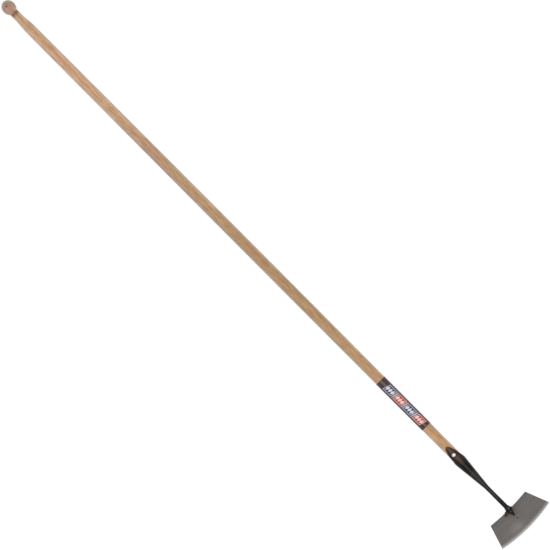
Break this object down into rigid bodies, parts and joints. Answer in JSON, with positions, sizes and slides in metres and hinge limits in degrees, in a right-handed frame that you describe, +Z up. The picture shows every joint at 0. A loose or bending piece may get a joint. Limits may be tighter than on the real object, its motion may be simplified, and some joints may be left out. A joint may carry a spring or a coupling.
{
  "type": "dutch hoe",
  "caption": "Long push hoe: an ash handle with a ball end, an open forged socket with a round neck, and a flat steel blade ground along its curved front edge.",
  "frame": {"origin": "on the floor that the tool lies on, under the middle of the box round it", "axes": "+X runs along the handle towards the blade, +Z is up, and the blade's upper face looks up and back towards the handle"},
  "size_m": [1.8006, 0.1594, 0.0539],
  "materials": {
    "ash": "sanded ash with a thin satin lacquer, long straight grain",
    "label_film": "glossy printed film, black with blue and red areas",
    "black_paint": "black paint over forged steel, satin, a little uneven",
    "blade_steel": "grey rolled steel, satin, with a bright ground edge",
    "weld_metal": "dark rippled weld metal",
    "zinc_plate": "bright zinc plate"
  },
  "bodies": {
    "root": {"handle": "ash", "label_sleeve": "label_film", "socket": "black_paint", "blade": "blade_steel", "left_weld": "weld_metal", "right_weld": "weld_metal", "rivet": "zinc_plate", "rivet_washer": "zinc_plate"}
  },
  "joints": []
}
